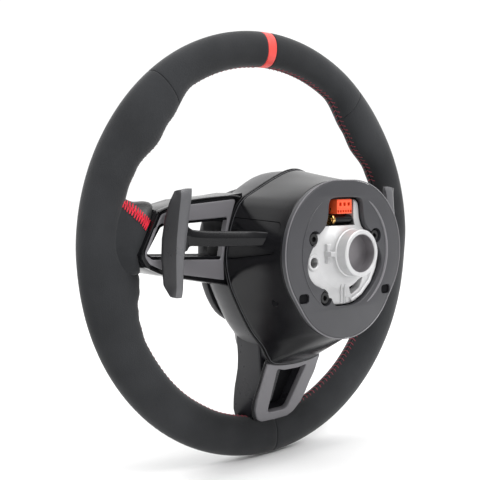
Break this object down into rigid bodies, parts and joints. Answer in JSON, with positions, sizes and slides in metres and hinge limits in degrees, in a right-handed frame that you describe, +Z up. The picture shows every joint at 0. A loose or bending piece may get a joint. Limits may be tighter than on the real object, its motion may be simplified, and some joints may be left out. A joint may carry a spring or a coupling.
{
  "type": "racing wheel",
  "caption": "Round suede-gripped racing wheel with open side spokes, pull paddles behind the rim, a press-in centre pad and a cast hub collar for the steering shaft.",
  "frame": {"origin": "centre of the hub collar's rear mouth, on the steering axis", "axes": "+Z up towards the red 12 o'clock band, +Y along the steering shaft away from the driver, +X to the driver's right"},
  "size_m": [0.36, 0.1395, 0.36],
  "materials": {
    "grip_suede": "matt suede",
    "band_leather": "smooth coral-red leather",
    "root_leather": "smooth black leather",
    "frame_alloy": "as-cast alloy",
    "grip_foam": "moulded foam",
    "cast_alloy": "as-cast light alloy",
    "gloss_cover": "glossy black",
    "satin_cover": "satin dark grey",
    "shell_plastic": "satin black",
    "bezel_paint": "satin grey",
    "insert_plastic": "black",
    "pad_skin": "fine grained black",
    "paddle_metal": "satin graphite",
    "zinc_steel": "zinc plated",
    "black_steel": "black oxide",
    "board_green": "green solder mask",
    "cable_sleeve": "black sleeve",
    "plug_orange": "orange-red",
    "barrel_black": "black",
    "contact_brass": "polished",
    "switch_black": "black",
    "plunger_red": "red"
  },
  "bodies": {
    "wheel": {"rim_frame": "frame_alloy", "rim_foam": "grip_foam", "grip_wrap_top": "grip_suede", "grip_wrap_right": "grip_suede", "grip_wrap_left": "grip_suede", "center_band": "band_leather", "spoke_root_right": "root_leather", "spoke_root_left": "root_leather", "hub_casting": "cast_alloy", "back_cover": "gloss_cover", "ring_cover": "satin_cover", "cover_screws": "black_steel", "front_shell": "shell_plastic", "spoke_bezel_right": "bezel_paint", "spoke_bezel_left": "bezel_paint", "lower_bezel": "bezel_paint", "lower_insert": "insert_plastic", "horn_plate": "zinc_steel", "horn_springs": "zinc_steel", "circuit_board": "board_green", "wire_harness": "cable_sleeve", "connector_housing": "plug_orange", "contact_barrel": "barrel_black", "contact_ring": "contact_brass", "hinge_pin_right": "zinc_steel", "hinge_pin_left": "zinc_steel", "paddle_bracket_right": "satin_cover", "paddle_bracket_left": "satin_cover", "paddle_spring_right": "zinc_steel", "paddle_spring_left": "zinc_steel", "switch_body_right": "switch_black", "switch_body_left": "switch_black"},
    "pad": {"center_pad": "pad_skin"},
    "right_paddle": {"paddle_right": "paddle_metal"},
    "left_paddle": {"paddle_left": "paddle_metal"},
    "right_plunger": {"switch_plunger_right": "plunger_red"},
    "left_plunger": {"switch_plunger_left": "plunger_red"}
  },
  "joints": [
    {"name": "right_paddle_pull", "type": "hinge", "parent": "wheel", "child": "right_paddle", "pos_m": [0.052, -0.0365, 0.011], "axis": [0, 0, -1], "range_deg": [0, 3.5], "stiffness_Nm_per_rad": 2, "springref_deg": -2.86, "deforming": ["paddle_spring_right"]},
    {"name": "left_paddle_pull", "type": "hinge", "parent": "wheel", "child": "left_paddle", "pos_m": [-0.052, -0.0365, 0.011], "axis": [0, 0, 1], "range_deg": [0, 3.5], "stiffness_Nm_per_rad": 2, "springref_deg": -2.86, "deforming": ["paddle_spring_left"]},
    {"name": "right_switch_press", "type": "slide", "parent": "wheel", "child": "right_plunger", "axis": [-1, 0, 0], "range_m": [0, 0.00095]},
    {"name": "left_switch_press", "type": "slide", "parent": "wheel", "child": "left_plunger", "axis": [1, 0, 0], "range_m": [0, 0.00095]},
    {"name": "horn_press", "type": "slide", "parent": "wheel", "child": "pad", "axis": [0, 1, 0], "range_m": [0, 0.0015], "stiffness_N_per_m": 3000, "springref_m": -0.001, "deforming": ["horn_springs"]}
  ],
  "couplings": [
    {"joint": "right_switch_press", "follows": "right_paddle_pull", "m_per_rad": 0.015},
    {"joint": "left_switch_press", "follows": "left_paddle_pull", "m_per_rad": 0.015}
  ]
}
